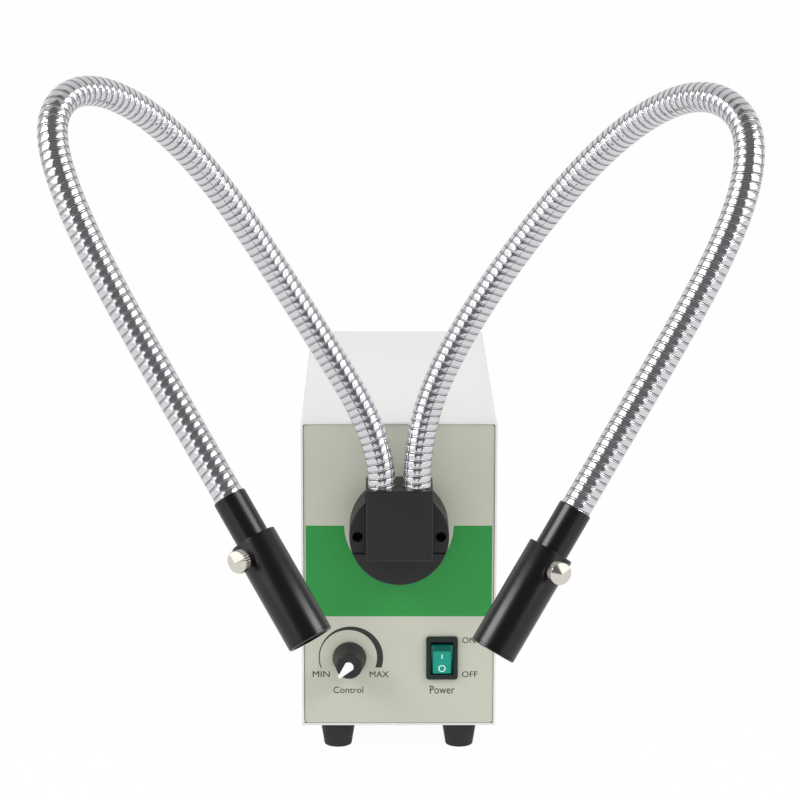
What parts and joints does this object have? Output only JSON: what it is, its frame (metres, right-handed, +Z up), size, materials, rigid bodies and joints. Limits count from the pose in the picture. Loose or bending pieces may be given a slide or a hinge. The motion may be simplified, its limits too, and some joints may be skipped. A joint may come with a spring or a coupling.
{
  "type": "fibre optic illuminator",
  "caption": "Box-shaped cold light source with a dimmer knob and rocker switch, feeding a forked fibre light guide on self-holding goosenecks that end in lens barrels.",
  "frame": {"origin": "middle of the whole object's bounding box in plan, on the surface that the feet stand on", "axes": "+X to the right seen from the front, +Y from the front panel to the back, +Z up"},
  "size_m": [0.3074, 0.4124, 0.3312],
  "materials": {
    "cover_paint": "off-white, satin",
    "chassis_paint": "light grey, satin",
    "panel_paint": "greenish grey, satin",
    "steel": "plated",
    "foot_rubber": "matt black",
    "black_aluminium": "black anodised, satin",
    "bare_aluminium": "turned",
    "lens_glass": "clear",
    "fibre_glass": "polished ends",
    "board": "green laminate",
    "black_plastic": "fine texture",
    "fan_plastic": "black",
    "knob_plastic": "black",
    "pointer_white": "white",
    "rocker_green": "translucent green",
    "hose_chrome": "bright",
    "sleeve_chrome": "bright, turned",
    "nickel": "nickel plated",
    "shaft_steel": "turned"
  },
  "bodies": {
    "case": {"cover": "cover_paint", "chassis": "chassis_paint", "front_panel": "panel_paint", "rear_panel": "cover_paint", "case_screws": "steel", "feet": "foot_rubber", "foot_screws": "steel", "port_housing": "black_aluminium", "housing_screws": "steel", "lens_holder": "bare_aluminium", "condenser_lens": "lens_glass", "led_board": "board", "heat_sink": "bare_aluminium", "fan_frame": "fan_plastic", "fan_screws": "steel", "engine_bracket": "steel", "power_supply": "board", "driver_board": "board", "mains_inlet": "black_plastic", "dimmer_body": "steel", "dimmer_nut": "steel", "switch_body": "black_plastic"},
    "dimmer_knob": {"knob": "knob_plastic", "knob_pointer": "pointer_white", "dimmer_shaft": "shaft_steel"},
    "power_rocker": {"rocker": "rocker_green"},
    "rotor": {"fan_rotor": "fan_plastic"},
    "guide_head": {"head_block": "black_aluminium", "guide_plug": "sleeve_chrome", "head_bundle": "fibre_glass", "neck_collars": "sleeve_chrome"},
    "left_neck_1": {"left_hose_1": "hose_chrome", "left_fibre_1": "fibre_glass"},
    "left_neck_2": {"left_hose_2": "hose_chrome", "left_fibre_2": "fibre_glass"},
    "left_neck_3": {"left_hose_3": "hose_chrome", "left_fibre_3": "fibre_glass"},
    "left_neck_4": {"left_hose_4": "hose_chrome", "left_fibre_4": "fibre_glass"},
    "left_neck_5": {"left_hose_5": "hose_chrome", "left_fibre_5": "fibre_glass", "left_sleeve": "black_aluminium"},
    "left_barrel": {"left_barrel": "black_aluminium", "left_tip_lens": "lens_glass"},
    "left_thumbscrew": {"left_thumbscrew": "nickel"},
    "right_neck_1": {"right_hose_1": "hose_chrome", "right_fibre_1": "fibre_glass"},
    "right_neck_2": {"right_hose_2": "hose_chrome", "right_fibre_2": "fibre_glass"},
    "right_neck_3": {"right_hose_3": "hose_chrome", "right_fibre_3": "fibre_glass"},
    "right_neck_4": {"right_hose_4": "hose_chrome", "right_fibre_4": "fibre_glass"},
    "right_neck_5": {"right_hose_5": "hose_chrome", "right_fibre_5": "fibre_glass", "right_sleeve": "black_aluminium"},
    "right_barrel": {"right_barrel": "black_aluminium", "right_tip_lens": "lens_glass"},
    "right_thumbscrew": {"right_thumbscrew": "nickel"}
  },
  "joints": [
    {"name": "knob_turn", "type": "hinge", "parent": "case", "child": "dimmer_knob", "pos_m": [-0.0234, -0.0225, 0.0455], "axis": [0, 1, 0], "range_deg": [0, 292]},
    {"name": "rocker_tilt", "type": "hinge", "parent": "case", "child": "power_rocker", "pos_m": [0.0205, -0.0229, 0.0455], "axis": [-1, 0, 0], "range_deg": [0, 20]},
    {"name": "fan_spin", "type": "hinge", "parent": "case", "child": "rotor", "pos_m": [0, 0.06, 0.1103], "axis": [0, 1, 0], "continuous": true},
    {"name": "guide_pull", "type": "slide", "parent": "case", "child": "guide_head", "axis": [0, -1, 0], "range_m": [0, 0.015]},
    {"name": "left_bend_1", "type": "hinge", "parent": "guide_head", "child": "left_neck_1", "pos_m": [-0.00807, -0.04779, 0.13805], "axis": [0, -1, 0], "range_deg": [-5, 25]},
    {"name": "left_bend_2", "type": "hinge", "parent": "left_neck_1", "child": "left_neck_2", "pos_m": [-0.04651, -0.04646, 0.22053], "axis": [-0.8524, 0, -0.5229], "range_deg": [-20, 20]},
    {"name": "left_bend_3", "type": "hinge", "parent": "left_neck_2", "child": "left_neck_3", "pos_m": [-0.09508, -0.06941, 0.29442], "axis": [-0.7917, 0.5272, -0.3086], "range_deg": [-20, 20]},
    {"name": "left_bend_4", "type": "hinge", "parent": "left_neck_3", "child": "left_neck_4", "pos_m": [-0.14728, -0.12872, 0.31421], "axis": [0.6259, -0.6686, 0.4016], "range_deg": [-20, 20]},
    {"name": "left_bend_5", "type": "hinge", "parent": "left_neck_4", "child": "left_neck_5", "pos_m": [-0.11471, -0.15322, 0.23328], "axis": [-0.8691, 0, -0.4946], "range_deg": [-20, 20]},
    {"name": "left_barrel_slide", "type": "slide", "parent": "left_neck_5", "child": "left_barrel", "axis": [-0.4978, 0.2994, 0.814], "range_m": [-0.012, 0.016]},
    {"name": "left_thumbscrew_turn", "type": "hinge", "parent": "left_barrel", "child": "left_thumbscrew", "pos_m": [-0.05875, -0.18409, 0.14011], "axis": [-0.5502, -0.8345, -0.0296], "range_deg": [0, 360]},
    {"name": "right_bend_1", "type": "hinge", "parent": "guide_head", "child": "right_neck_1", "pos_m": [0.00803, -0.0478, 0.13805], "axis": [0, 1, 0], "range_deg": [-5, 25]},
    {"name": "right_bend_2", "type": "hinge", "parent": "right_neck_1", "child": "right_neck_2", "pos_m": [0.03932, -0.04647, 0.22428], "axis": [-0.8442, 0, 0.5361], "range_deg": [-20, 20]},
    {"name": "right_bend_3", "type": "hinge", "parent": "right_neck_2", "child": "right_neck_3", "pos_m": [0.09246, -0.06965, 0.29602], "axis": [-0.8014, -0.4241, 0.4218], "range_deg": [-20, 20]},
    {"name": "right_bend_4", "type": "hinge", "parent": "right_neck_3", "child": "right_neck_4", "pos_m": [0.14569, -0.13309, 0.31212], "axis": [0.6582, 0.6681, -0.347], "range_deg": [-20, 20]},
    {"name": "right_bend_5", "type": "hinge", "parent": "right_neck_4", "child": "right_neck_5", "pos_m": [0.11717, -0.1578, 0.2298], "axis": [-0.8658, 0, 0.5004], "range_deg": [-20, 20]},
    {"name": "right_barrel_slide", "type": "slide", "parent": "right_neck_5", "child": "right_barrel", "axis": [0.5068, 0.2163, 0.8344], "range_m": [-0.012, 0.016]},
    {"name": "right_thumbscrew_turn", "type": "hinge", "parent": "right_barrel", "child": "right_thumbscrew", "pos_m": [0.05956, -0.18094, 0.13408], "axis": [0.3845, -0.9231, 0.0058], "range_deg": [0, 360]}
  ]
}
